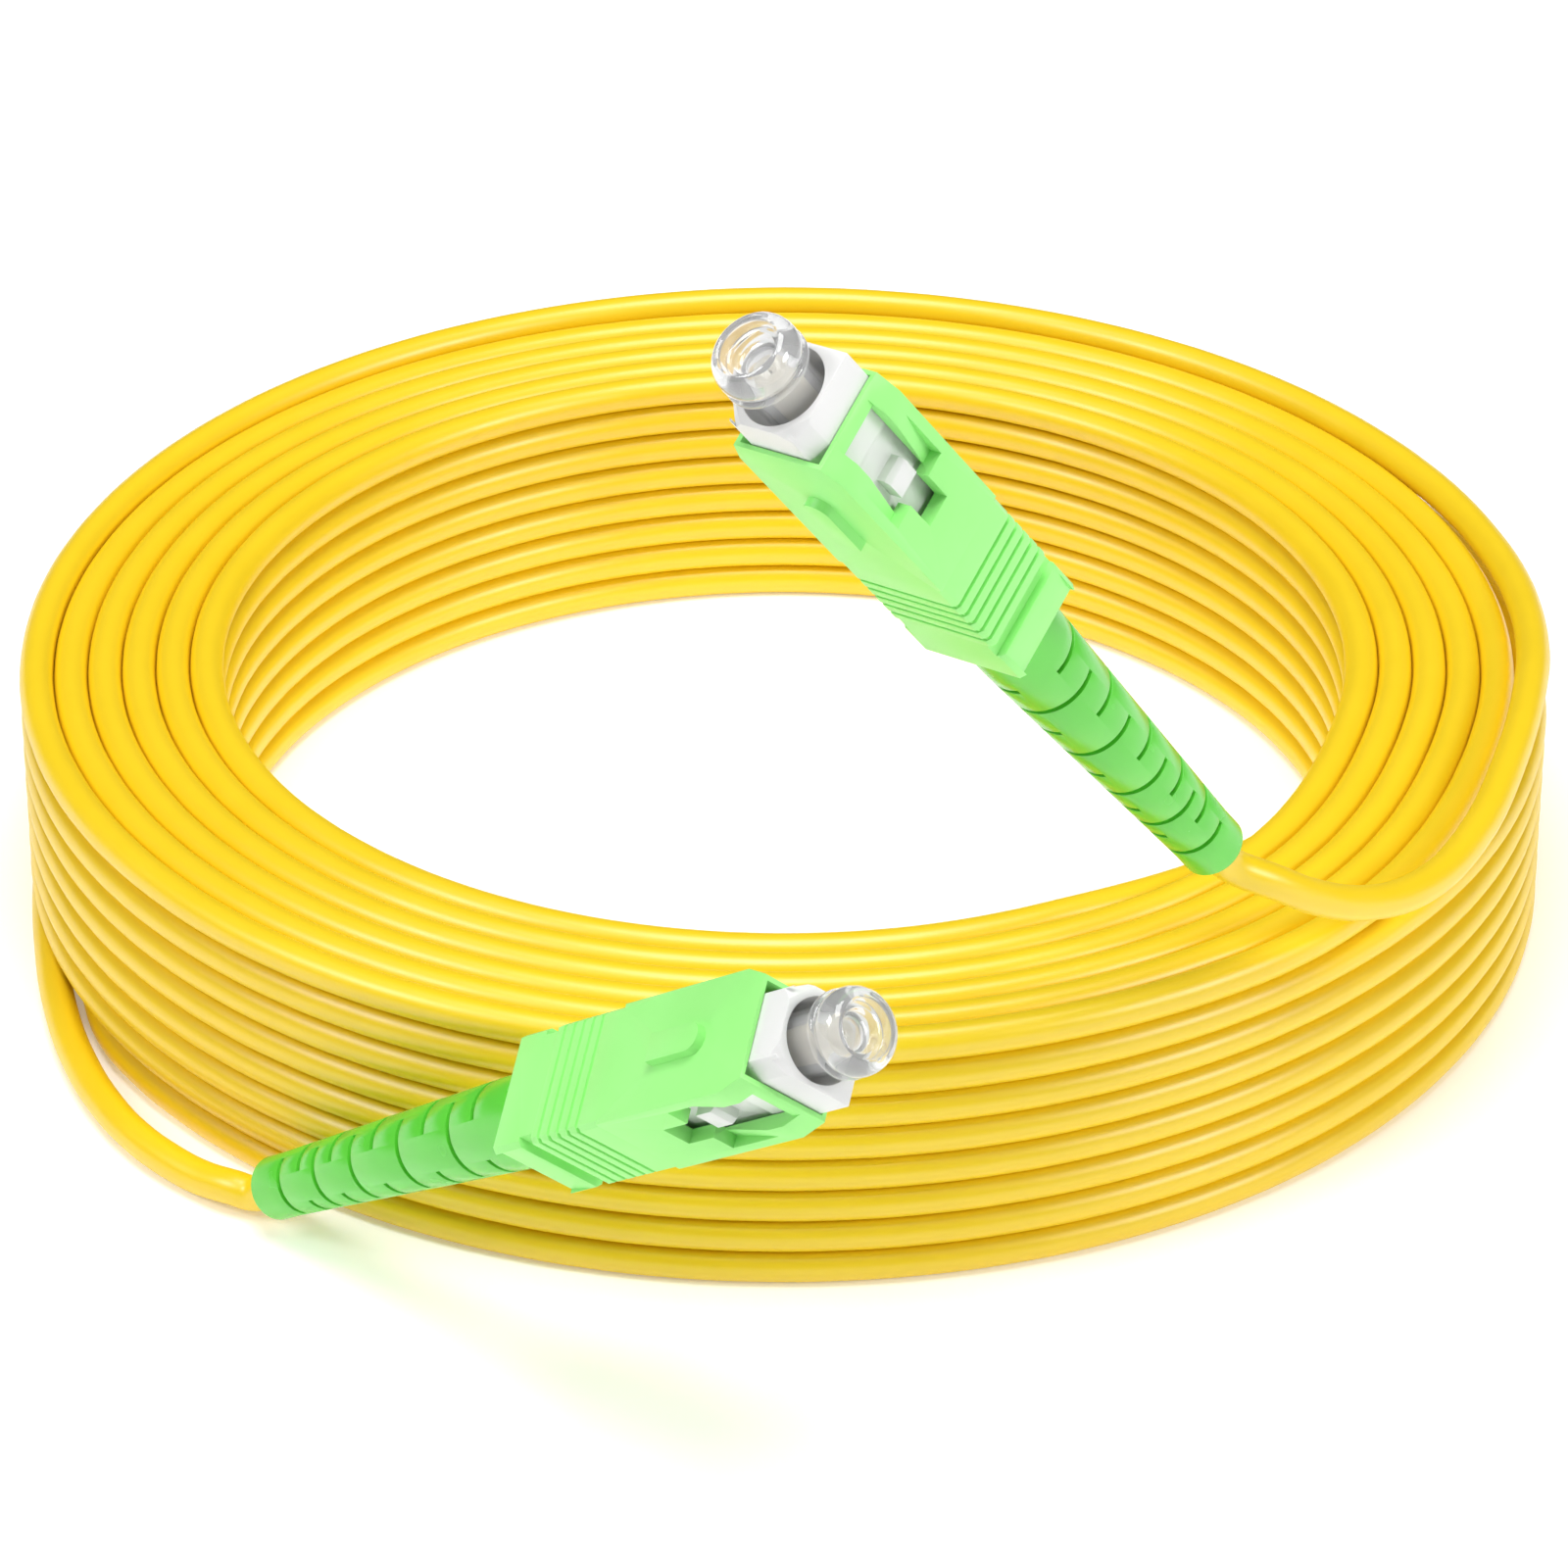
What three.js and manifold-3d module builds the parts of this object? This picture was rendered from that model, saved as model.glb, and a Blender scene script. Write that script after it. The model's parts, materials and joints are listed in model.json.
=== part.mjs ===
// Fiber optic patch cord: a wound jacketed cable with one push-pull connector on each end.
// Millimetres, +Z up. The coil lies flat on Z = 0 and both connectors stand up from their cable ends.
// Each connector is drawn along local X: X = 0 is the front face of its outer housing, +X points out
// of the socket, +Z is the side with the key bar and the two Y sides carry the latch windows.

import * as THREE from 'three';
import Module from 'manifold-3d';
import { mergeVertices } from 'three/addons/utils/BufferGeometryUtils.js';

const wasm = await Module();
wasm.setup();

// Cable
const CABLE_R = 1.3;
const COIL_INNER_R = 43.16;
const COIL_OUTER_R = 58.76;
const COIL_HEIGHT = 20.8;
const COIL_EDGE_R = 1.3;
const COIL_SEGMENTS = 64;
const TOP_TURN_R = 57.46;
const TOP_TURN_FROM = 80;
const TOP_TURN_TO = -10;
const CORD_GAP = 0.3;
const ARRIVAL_LENGTH = 2.9;

// Outer housing
const HOUSING_LENGTH = 26.8;
const HOUSING_HALF_W = 4.5;
const HOUSING_HALF_H = 3.7;
const HOUSING_BORE_HALF_W = 3.4;
const HOUSING_BORE_HALF_H = 3.38;
const HOUSING_BORE_DEPTH = 18.7;
const HOUSING_REAR_BORE_R = 3.4;
const NOSE_BEVEL_INSET = 0.74;
const NOSE_BEVEL_LENGTH = 1.94;
const NOSE_BAR_LENGTH = 1.1;
const NOSE_BAR_TOP = 3.9;
const WINDOW_FLOOR = 3.0;
const WINDOW_HALF_H = 1.9;
const WINDOW_END = 8.4;
const WINDOW_TAIL_HALF_H = 1.15;
const WINDOW_TAIL_END = 11.0;
const EAR_HALF_H = 2.9;
const EAR_START = 3.55;
const EAR_DEEP_W = 3.55;
const KEY_START = 5.0;
const KEY_END = 10.3;
const KEY_HALF_W = 1.05;
const KEY_HEIGHT = 0.7;
const GROOVE_STARTS = [17.3, 18.35, 19.4, 20.45, 21.55];
const GROOVE_WIDTH = 0.32;
const GROOVE_DEPTH = 0.3;
const BAND_START = 22.55;
const BAND_END = 23.9;
const BAND_DEPTH = 0.35;
const GIRDLE_FLAT_SHARE = 0.6;
const PANEL_DROP = 0.45;
const PANEL_MARGIN = 0.4;
const PANEL_GAP = 0.5;
const GRIP_START = 15.2;
const GRIP_BEVEL = 0.35;
const CUT_REACH = 6;

// Plug frame
const FRAME_FRONT = 2.8;
const FRAME_REAR = -16.0;
const FRAME_HALF = 3.3;
const FRAME_CHAMFER_TOP = 2.5;
const FRAME_CHAMFER_SIDE = 1.9;
const FRAME_SOCKET_R = 2.95;
const FRAME_SOCKET_END = -4.0;
const FRAME_WALL_END = -5.0;
const FRAME_FERRULE_R = 1.36;
const FRAME_CAVITY_R = 2.52;
const FRAME_WAIST_HALF = 2.95;
const FRAME_WAIST_START = -3.5;
const FRAME_WAIST_RAMP = 0.6;
const FRAME_NOSE_BEVEL_LENGTH = 0.7;
const FRAME_NOSE_BEVEL_RISE = 0.6;
const FRAME_NOSE_BEVEL_BASE = 3.42;
const CATCH_START = -6.0;
const CATCH_END = -7.9;
const CATCH_HALF_H = 1.0;
const CATCH_TOP = 3.95;
const CATCH_ROOT = 2.9;
const CATCH_EDGE = 0.35;

// Ferrule, fibre and spring
const FERRULE_R = 1.25;
const FERRULE_TIP = 5.0;
const FERRULE_REAR = -8.0;
const FERRULE_TIP_BEVEL = 0.3;
const FERRULE_TIP_BEVEL_LENGTH = 0.5;
const POLISH_ANGLE = 8.0;
const POLISH_BACK = 0.14;
const FLANGE_REAR = -12.0;
const FLANGE_FRONT = -5.2;
const FLANGE_STEM_R = 1.5;
const FLANGE_COLLAR_REAR = -7.4;
const FLANGE_COLLAR_FRONT = -5.6;
const FLANGE_COLLAR_R = 2.2;
const FLANGE_NOSE_R = 1.8;
const FLANGE_SEAT = -8.1;
const FIBER_R = 0.0625;
const FIBER_BORE_R = 0.1;
const BUFFER_R = 0.45;
const FIBER_REAR = -56.0;
const BUFFER = { rear: FIBER_REAR, front: -8.3, innerR: FIBER_R + 0.04, outerR: BUFFER_R };
const SPRING_R = 1.95;
const SPRING_WIRE_R = 0.22;
const SPRING_FRONT = -7.55;
const SPRING_REAR = -13.45;
const SPRING_TURNS = 5;

// Rear body, crimp and yarn
const STOP_REAR = -28.0;
const STOP_FRONT = -13.7;
const STOP_STEM_R = 1.75;
const STOP_COLLAR_REAR = -18.2;
const STOP_COLLAR_FRONT = -16.2;
const STOP_COLLAR_R = 2.95;
const STOP_NOSE_R = 2.45;
const STOP_SPRING_SEAT = -16.4;
const STOP_SPRING_BORE_R = 1.6;
const STOP_BORE_R = 1.1;
const CRIMP_REAR = -34.0;
const CRIMP_FRONT = -18.6;
const CRIMP_NECK_END = -28.9;
const CRIMP_SHOULDER = -28.4;
const CRIMP_NECK_R = 1.75;
const CRIMP_R = 2.4;
const CRIMP_BORE_R = 2.06;
const CRIMP_NECK_BORE_R = 1.37;
const CRIMP_BORE_STEP = [-28.2, -28.5];
const YARN = { rear: -27.8, front: -19.0, innerR: 1.8, outerR: 2.0 };
const INNER_TUBE = { rear: -24.0, front: -14.2, innerR: 0.62, outerR: 0.85 };

// Boot
const BOOT_FRONT = -22.3;
const BOOT_REAR = -59.5;
const BOOT_FRONT_R = 3.3;
const BOOT_REAR_R = 2.35;
const BOOT_TAPER_START = -30.0;
const BOOT_REAR_BAND = 2.2;
const BOOT_EDGE = 0.25;
const BOOT_BORE_R = 2.46;
const BOOT_BORE_END = -34.2;
const BOOT_CABLE_CLEARANCE = 0.06;
const SLOT_POSITIONS = [-31.3, -34.3, -37.4, -40.6, -43.8, -46.6, -49.1, -51.3, -53.2, -55.8];
const SLOT_WIDTH = 0.42;
const JACKET_END = { rear: BOOT_REAR, front: -28.9, innerR: BUFFER_R + 0.06, outerR: CABLE_R };
const SLOT_BRIDGE_ANGLE = 55;
const SLOT_TURNS = [135, 45];

// Dust cap: a skirt over the ferrule, a grooved head, a closed end with a round recess.
const CAP_REAR = -0.8;
const CAP_BORE_R = 1.29;
const CAP_BORE_END = 5.2;
const CAP_OUTSIDE = [
  [-0.8, 2.15],
  [-0.6, 2.3],
  [4.3, 2.3],
  [4.8, 2.65],
  [5.1, 3.05],
  [5.5, 3.2],
  [6.9, 3.2],
  [7.6, 3.0],
  [8.2, 2.4],
];
const CAP_RECESS = [
  [8.1, 2.1],
  [7.3, 1.95],
  [7.2, 1.5],
  [6.6, 1.4],
  [6.4, 0],
];
const CAP_INNER_END = 5.6;

// Where each boot ends and how its connector is held by the stiff cable end.
const CONNECTORS = [
  { id: 'a', bootEnd: [30.0, -51.5, 32.4], yaw: 219.33, elevation: 51.45, roll: -169.63 },
  { id: 'b', bootEnd: [-36.6, -50.6, 3.2], yaw: 318.85, elevation: 33.59, roll: 41.41 },
];

// Free cable centre lines, from the coil to each boot.
const TAIL_A_FREE = [
  [53.6, -22.9, 22.5],
  [49.9, -33.3, 22.5],
  [45.8, -40.6, 22.8],
  [41.6, -45.2, 24.0],
  [37.7, -48.1, 26.2],
  [34.3, -49.8, 28.6],
];
const TAIL_B_FREE = [
  [-52.8, -30.4, 1.3],
  [-50.05, -36.8, 1.3],
  [-47.45, -41.1, 1.3],
  [-44.8, -44.3, 1.3],
  [-42.3, -46.6, 1.3],
  [-39.9, -48.4, 1.6],
];

const jacketYellow = { color: 0xf7d21f, roughness: 0.45, metalness: 0.0 };
const housingGreen = { color: 0x7fe06a, roughness: 0.5, metalness: 0.0 };
const bootGreen = { color: 0x4fc93a, roughness: 0.4, metalness: 0.0 };
const frameWhite = { color: 0xf2f2f0, roughness: 0.45, metalness: 0.0 };
const capClear = { color: 0xe9eef0, roughness: 0.1, metalness: 0.0, transparent: true, opacity: 0.4 };
const ceramicWhite = { color: 0xf6f3e6, roughness: 0.2, metalness: 0.0 };
const steelGrey = { color: 0xb9bcc0, roughness: 0.3, metalness: 1.0 };
const brassYellow = { color: 0xc9a04a, roughness: 0.35, metalness: 1.0 };
const yarnYellow = { color: 0xd9b23a, roughness: 0.9, metalness: 0.0 };
const tubeWhite = { color: 0xeeeeea, roughness: 0.5, metalness: 0.0 };
const glassClear = { color: 0xdfe8ea, roughness: 0.05, metalness: 0.0 };

function toSolid(geometry) {
  const bare = geometry.clone();
  bare.deleteAttribute('normal');
  bare.deleteAttribute('uv');
  const merged = mergeVertices(bare, 1e-4);
  return new wasm.Manifold(new wasm.Mesh({
    numProp: 3,
    vertProperties: new Float32Array(merged.attributes.position.array),
    triVerts: new Uint32Array(merged.index.array),
  }));
}

function toGeometry(solid) {
  const mesh = solid.getMesh();
  const geometry = new THREE.BufferGeometry();
  geometry.setAttribute('position', new THREE.BufferAttribute(mesh.vertProperties, 3));
  geometry.setIndex(new THREE.BufferAttribute(mesh.triVerts, 1));
  const faceted = geometry.toNonIndexed();
  faceted.computeVertexNormals();
  return faceted;
}

function block(x0, x1, y0, y1, z0, z1) {
  const geometry = new THREE.BoxGeometry(x1 - x0, y1 - y0, z1 - z0);
  geometry.translate((x0 + x1) / 2, (y0 + y1) / 2, (z0 + z1) / 2);
  return toSolid(geometry);
}

// A turned body about X. The profile lists [x, radius] from the rear, over the outside, to the front.
function turned(profile, segments) {
  const points = profile.map(([x, r]) => new THREE.Vector2(r, x));
  const geometry = new THREE.LatheGeometry(points, segments);
  geometry.rotateZ(-Math.PI / 2);
  return geometry;
}

function ringProfile(rear, front, innerR, outerR) {
  return [[rear, innerR], [rear, outerR], [front, outerR], [front, innerR], [rear, innerR]];
}

function rodProfile(rear, front, radius) {
  return [[rear, 0], [rear, radius], [front, radius], [front, 0]];
}

function rod(rear, front, radius, segments) {
  return toSolid(turned(rodProfile(rear, front, radius), segments));
}

// A prism whose outline is drawn on the Y-Z plane and runs from x0 to x1.
function prismAlongX(outline, x0, x1) {
  const shape = new THREE.Shape(outline.map(([y, z]) => new THREE.Vector2(y, z)));
  const geometry = new THREE.ExtrudeGeometry(shape, { depth: x1 - x0, bevelEnabled: false });
  geometry.rotateX(Math.PI / 2);
  geometry.rotateZ(Math.PI / 2);
  geometry.translate(x0, 0, 0);
  return toSolid(geometry);
}

// A prism whose outline is drawn on the X-Y plane and runs from z0 to z1.
function prismAlongZ(outline, z0, z1) {
  const shape = new THREE.Shape(outline.map(([x, y]) => new THREE.Vector2(x, y)));
  const geometry = new THREE.ExtrudeGeometry(shape, { depth: z1 - z0, bevelEnabled: false });
  geometry.translate(0, 0, z0);
  return toSolid(geometry);
}

// An outline drawn for the +Y side, as it is or mirrored to the -Y side.
function onSide(outline, side) {
  return side > 0 ? outline : outline.map(([x, y]) => [x, -y]).reverse();
}

function named(name, geometry, look) {
  const mesh = new THREE.Mesh(geometry, new THREE.MeshStandardMaterial(look));
  mesh.name = name;
  return mesh;
}

function housingShell() {
  const half = HOUSING_HALF_W;
  const nose = half - NOSE_BEVEL_INSET;
  const shell = prismAlongZ([
    [-HOUSING_LENGTH, -half],
    [-NOSE_BEVEL_LENGTH, -half],
    [0, -nose],
    [0, nose],
    [-NOSE_BEVEL_LENGTH, half],
    [-HOUSING_LENGTH, half],
  ], -HOUSING_HALF_H, HOUSING_HALF_H);
  const frontBore = block(
    -HOUSING_BORE_DEPTH, 1,
    -HOUSING_BORE_HALF_W, HOUSING_BORE_HALF_W,
    -HOUSING_BORE_HALF_H, HOUSING_BORE_HALF_H,
  );
  const rearBore = rod(-HOUSING_LENGTH - 1, -HOUSING_BORE_DEPTH + 1, HOUSING_REAR_BORE_R, 40);
  return shell.subtract(frontBore).subtract(rearBore);
}

// One latch window: an open channel, a narrow tail and two shallow ears with sloping floors.
function windowCut(side) {
  const inner = side * WINDOW_FLOOR;
  const outer = side * (HOUSING_HALF_W + 1);
  const low = Math.min(inner, outer);
  const high = Math.max(inner, outer);
  const channel = block(-WINDOW_END, -NOSE_BAR_LENGTH, low, high, -WINDOW_HALF_H, WINDOW_HALF_H);
  const tail = block(-WINDOW_TAIL_END, -WINDOW_END + 0.1, low, high, -WINDOW_TAIL_HALF_H, WINDOW_TAIL_HALF_H);
  const barTop = side * NOSE_BAR_TOP;
  const notch = block(
    -NOSE_BAR_LENGTH - 0.1, 1,
    Math.min(barTop, outer), Math.max(barTop, outer),
    -WINDOW_HALF_H, WINDOW_HALF_H,
  );
  const rampOutline = [
    [-WINDOW_END, EAR_DEEP_W],
    [-EAR_START, HOUSING_HALF_W],
    [-EAR_START, CUT_REACH],
    [-WINDOW_END, CUT_REACH],
  ];
  const ramp = prismAlongZ(onSide(rampOutline, side), -EAR_HALF_H, EAR_HALF_H);
  return channel.add(tail).add(notch).add(ramp);
}

function keyBar() {
  const shape = new THREE.Shape();
  shape.moveTo(-KEY_END, -KEY_HALF_W);
  shape.lineTo(-KEY_START - KEY_HALF_W, -KEY_HALF_W);
  shape.absarc(-KEY_START - KEY_HALF_W, 0, KEY_HALF_W, -Math.PI / 2, Math.PI / 2, false);
  shape.lineTo(-KEY_END, KEY_HALF_W);
  const depth = KEY_HEIGHT + 0.1;
  const geometry = new THREE.ExtrudeGeometry(shape, { depth, bevelEnabled: false, curveSegments: 8 });
  geometry.translate(0, 0, HOUSING_HALF_H - 0.1);
  return toSolid(geometry);
}

// A frame-shaped cut that runs all round the housing.
function girdle(start, width, depth) {
  const outer = block(-start - width, -start, -CUT_REACH, CUT_REACH, -CUT_REACH, CUT_REACH);
  const flatDepth = depth * GIRDLE_FLAT_SHARE;
  const core = block(
    -start - width - 1, -start + 1,
    -HOUSING_HALF_W + depth, HOUSING_HALF_W - depth,
    -HOUSING_HALF_H + flatDepth, HOUSING_HALF_H - flatDepth,
  );
  return outer.subtract(core);
}

function gripBevels() {
  const w = HOUSING_HALF_W;
  const h = HOUSING_HALF_H;
  const b = GRIP_BEVEL;
  const corner = (sy, sz) => {
    const outline = [
      [sy * (w - b), sz * (h + 1)],
      [sy * (w + 1), sz * (h + 1)],
      [sy * (w + 1), sz * (h - b)],
      [sy * w, sz * (h - b)],
      [sy * (w - b), sz * h],
    ];
    return prismAlongX(sy * sz > 0 ? outline.reverse() : outline, -HOUSING_LENGTH - 1, -GRIP_START);
  };
  return corner(1, 1).add(corner(-1, 1)).add(corner(1, -1)).add(corner(-1, -1));
}

// The rear grip panel slopes down from the groove band to the end of the housing.
function rearPanelCut(side) {
  const halfH = HOUSING_HALF_H - PANEL_MARGIN;
  const start = -BAND_END - PANEL_GAP;
  const outline = [
    [-HOUSING_LENGTH - 1, HOUSING_HALF_W - PANEL_DROP],
    [start, HOUSING_HALF_W],
    [start, CUT_REACH],
    [-HOUSING_LENGTH - 1, CUT_REACH],
  ];
  return prismAlongZ(onSide(outline, side), -halfH, halfH);
}

function outerHousing() {
  let solid = housingShell();
  for (const side of [1, -1]) {
    solid = solid.subtract(windowCut(side));
    solid = solid.subtract(rearPanelCut(side));
  }
  for (const start of GROOVE_STARTS) {
    solid = solid.subtract(girdle(start, GROOVE_WIDTH, GROOVE_DEPTH));
  }
  solid = solid.subtract(girdle(BAND_START, BAND_END - BAND_START, BAND_DEPTH));
  solid = solid.subtract(gripBevels());
  return toGeometry(solid.add(keyBar()));
}

function plugBody() {
  const h = FRAME_HALF;
  return prismAlongX([
    [-h, -h],
    [h, -h],
    [h, FRAME_CHAMFER_SIDE],
    [FRAME_CHAMFER_TOP, h],
    [-FRAME_CHAMFER_TOP, h],
    [-h, FRAME_CHAMFER_SIDE],
  ], FRAME_REAR, FRAME_FRONT);
}

// Behind its nose the plug frame is narrower on the two window sides.
function waistCut(side) {
  const outline = [
    [FRAME_REAR - 1, FRAME_WAIST_HALF],
    [FRAME_WAIST_START - FRAME_WAIST_RAMP, FRAME_WAIST_HALF],
    [FRAME_WAIST_START, FRAME_HALF],
    [FRAME_WAIST_START, CUT_REACH],
    [FRAME_REAR - 1, CUT_REACH],
  ];
  return prismAlongZ(onSide(outline, side), -CUT_REACH, CUT_REACH);
}

// The block in each window that an adapter's latch hooks onto.
function catchBlock(side) {
  const outline = [
    [CATCH_END, CATCH_ROOT],
    [CATCH_START, CATCH_ROOT],
    [CATCH_START, CATCH_TOP - CATCH_EDGE],
    [CATCH_START - CATCH_EDGE, CATCH_TOP],
    [CATCH_END, CATCH_TOP],
  ];
  return prismAlongZ(onSide(outline, side), -CATCH_HALF_H, CATCH_HALF_H);
}

// Slopes the front face back at one corner on the key side.
function noseBevel(side) {
  const shape = new THREE.Shape();
  shape.moveTo(FRAME_FRONT - FRAME_NOSE_BEVEL_LENGTH, FRAME_NOSE_BEVEL_RISE);
  shape.lineTo(FRAME_FRONT + 0.01, FRAME_NOSE_BEVEL_RISE);
  shape.lineTo(FRAME_FRONT + 0.01, 0);
  const wedge = new THREE.ExtrudeGeometry(shape, { depth: 2 * CUT_REACH, bevelEnabled: false });
  wedge.translate(0, FRAME_NOSE_BEVEL_BASE, -CUT_REACH);
  wedge.rotateX(side > 0 ? Math.PI / 4 : (3 * Math.PI) / 4);
  return toSolid(wedge);
}

function plugFrame() {
  return toGeometry(plugBody()
    .subtract(waistCut(1))
    .subtract(waistCut(-1))
    .add(catchBlock(1))
    .add(catchBlock(-1))
    .subtract(noseBevel(1))
    .subtract(noseBevel(-1))
    .subtract(rod(FRAME_SOCKET_END, FRAME_FRONT + 1, FRAME_SOCKET_R, 40))
    .subtract(rod(FRAME_WALL_END - 1, FRAME_SOCKET_END + 1, FRAME_FERRULE_R, 24))
    .subtract(rod(FRAME_REAR - 1, FRAME_WALL_END, FRAME_CAVITY_R, 32)));
}

// Ceramic ferrule with a fine bore and an angled polished tip.
function ferrule() {
  const body = turned([
    [FERRULE_REAR, FIBER_BORE_R],
    [FERRULE_REAR, FERRULE_R],
    [FERRULE_TIP - FERRULE_TIP_BEVEL_LENGTH, FERRULE_R],
    [FERRULE_TIP, FERRULE_R - FERRULE_TIP_BEVEL],
    [FERRULE_TIP, FIBER_BORE_R],
    [FERRULE_REAR, FIBER_BORE_R],
  ], 24);
  const knife = new THREE.BoxGeometry(2, 4, 4);
  knife.translate(1, 0, 0);
  knife.rotateY(THREE.MathUtils.degToRad(POLISH_ANGLE));
  knife.translate(FERRULE_TIP - POLISH_BACK, 0, 0);
  return toGeometry(toSolid(body).subtract(toSolid(knife)));
}

function ferruleFlange() {
  const boreR = BUFFER_R + 0.1;
  const seatR = FERRULE_R + 0.06;
  return turned([
    [FLANGE_REAR, boreR],
    [FLANGE_REAR, FLANGE_STEM_R],
    [FLANGE_COLLAR_REAR, FLANGE_STEM_R],
    [FLANGE_COLLAR_REAR, FLANGE_COLLAR_R],
    [FLANGE_COLLAR_FRONT, FLANGE_COLLAR_R],
    [FLANGE_FRONT, FLANGE_NOSE_R],
    [FLANGE_FRONT, seatR],
    [FLANGE_SEAT, seatR],
    [FLANGE_SEAT, boreR],
    [FLANGE_REAR, boreR],
  ], 24);
}

class Helix extends THREE.Curve {
  getPoint(t) {
    const angle = 2 * Math.PI * SPRING_TURNS * t;
    const x = THREE.MathUtils.lerp(SPRING_REAR + SPRING_WIRE_R, SPRING_FRONT - SPRING_WIRE_R, t);
    return new THREE.Vector3(x, SPRING_R * Math.cos(angle), SPRING_R * Math.sin(angle));
  }
}

function roundWire(radius, sides) {
  const points = [];
  for (let i = 0; i < sides; i += 1) {
    const angle = (2 * Math.PI * (i + 0.5)) / sides;
    points.push(new THREE.Vector2(radius * Math.cos(angle), radius * Math.sin(angle)));
  }
  return new THREE.Shape(points);
}

function ferruleSpring() {
  return new THREE.ExtrudeGeometry(roundWire(SPRING_WIRE_R, 5), {
    steps: SPRING_TURNS * 12,
    extrudePath: new Helix(),
    bevelEnabled: false,
  });
}

function stopRing() {
  return turned([
    [STOP_REAR, STOP_BORE_R],
    [STOP_REAR, STOP_STEM_R],
    [STOP_COLLAR_REAR, STOP_STEM_R],
    [STOP_COLLAR_REAR, STOP_COLLAR_R],
    [STOP_COLLAR_FRONT, STOP_COLLAR_R],
    [STOP_COLLAR_FRONT, STOP_NOSE_R],
    [STOP_FRONT, STOP_NOSE_R],
    [STOP_FRONT, STOP_SPRING_BORE_R],
    [STOP_SPRING_SEAT, STOP_SPRING_BORE_R],
    [STOP_SPRING_SEAT, STOP_BORE_R],
    [STOP_REAR, STOP_BORE_R],
  ], 28);
}

function crimpSleeve() {
  const [boreStart, neckBoreEnd] = CRIMP_BORE_STEP;
  return turned([
    [CRIMP_REAR, CRIMP_NECK_BORE_R],
    [CRIMP_REAR, CRIMP_NECK_R],
    [CRIMP_NECK_END, CRIMP_NECK_R],
    [CRIMP_SHOULDER, CRIMP_R],
    [CRIMP_FRONT, CRIMP_R],
    [CRIMP_FRONT, CRIMP_BORE_R],
    [boreStart, CRIMP_BORE_R],
    [neckBoreEnd, CRIMP_NECK_BORE_R],
    [CRIMP_REAR, CRIMP_NECK_BORE_R],
  ], 28);
}

// One ring of the boot is cut by two slots with a bridge between them on either side.
function slotPair(x, bridgeAt) {
  const half = THREE.MathUtils.degToRad(90 - SLOT_BRIDGE_ANGLE / 2);
  const wedge = (middle) => {
    const outline = [[0, 0]];
    for (const k of [-1, 0, 1]) {
      outline.push([CUT_REACH * Math.cos(middle + k * half), CUT_REACH * Math.sin(middle + k * half)]);
    }
    return prismAlongX(outline, x - SLOT_WIDTH / 2, x + SLOT_WIDTH / 2);
  };
  const quarter = Math.PI / 2;
  const start = THREE.MathUtils.degToRad(bridgeAt);
  return wedge(start + quarter).add(wedge(start - quarter));
}

function boot() {
  const cableHole = CABLE_R + BOOT_CABLE_CLEARANCE;
  let solid = toSolid(turned([
    [BOOT_REAR, cableHole],
    [BOOT_REAR, BOOT_REAR_R - BOOT_EDGE],
    [BOOT_REAR + BOOT_EDGE, BOOT_REAR_R],
    [BOOT_REAR + BOOT_REAR_BAND, BOOT_REAR_R],
    [BOOT_TAPER_START, BOOT_FRONT_R],
    [BOOT_FRONT, BOOT_FRONT_R],
    [BOOT_FRONT, BOOT_BORE_R],
    [BOOT_BORE_END, BOOT_BORE_R],
    [BOOT_BORE_END, cableHole],
    [BOOT_REAR, cableHole],
  ], 24));
  SLOT_POSITIONS.forEach((x, index) => {
    solid = solid.subtract(slotPair(x, SLOT_TURNS[index % 2]));
  });
  return toGeometry(solid);
}

function dustCap() {
  return turned([
    [CAP_REAR, CAP_BORE_R],
    ...CAP_OUTSIDE,
    ...CAP_RECESS,
    [CAP_INNER_END, 0],
    [CAP_BORE_END, CAP_BORE_R],
    [CAP_REAR, CAP_BORE_R],
  ], 28);
}

function sleeve({ rear, front, innerR, outerR }, segments) {
  return turned(ringProfile(rear, front, innerR, outerR), segments);
}

function connector({ id, bootEnd, yaw, elevation, roll }) {
  const group = new THREE.Group();
  const add = (name, geometry, look) => group.add(named(`${name}_${id}`, geometry, look));
  add('outer_housing', outerHousing(), housingGreen);
  add('plug_frame', plugFrame(), frameWhite);
  add('ferrule', ferrule(), ceramicWhite);
  add('ferrule_flange', ferruleFlange(), steelGrey);
  add('ferrule_spring', ferruleSpring(), steelGrey);
  add('stop_ring', stopRing(), steelGrey);
  add('crimp_sleeve', crimpSleeve(), brassYellow);
  add('aramid_yarn', sleeve(YARN, 20), yarnYellow);
  add('inner_tube', sleeve(INNER_TUBE, 14), tubeWhite);
  add('jacket_end', sleeve(JACKET_END, 20), jacketYellow);
  add('buffered_fiber', sleeve(BUFFER, 12), tubeWhite);
  add('glass_fiber', turned(rodProfile(FIBER_REAR, FERRULE_TIP - 0.2, FIBER_R), 8), glassClear);
  add('boot', boot(), bootGreen);
  add('dust_cap', dustCap(), capClear);

  const radians = THREE.MathUtils.degToRad;
  group.rotation.set(radians(roll), radians(-elevation), radians(yaw), 'ZYX');
  const reach = new THREE.Vector3(-BOOT_REAR, 0, 0).applyEuler(group.rotation);
  group.position.set(...bootEnd).add(reach);
  return group;
}

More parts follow.
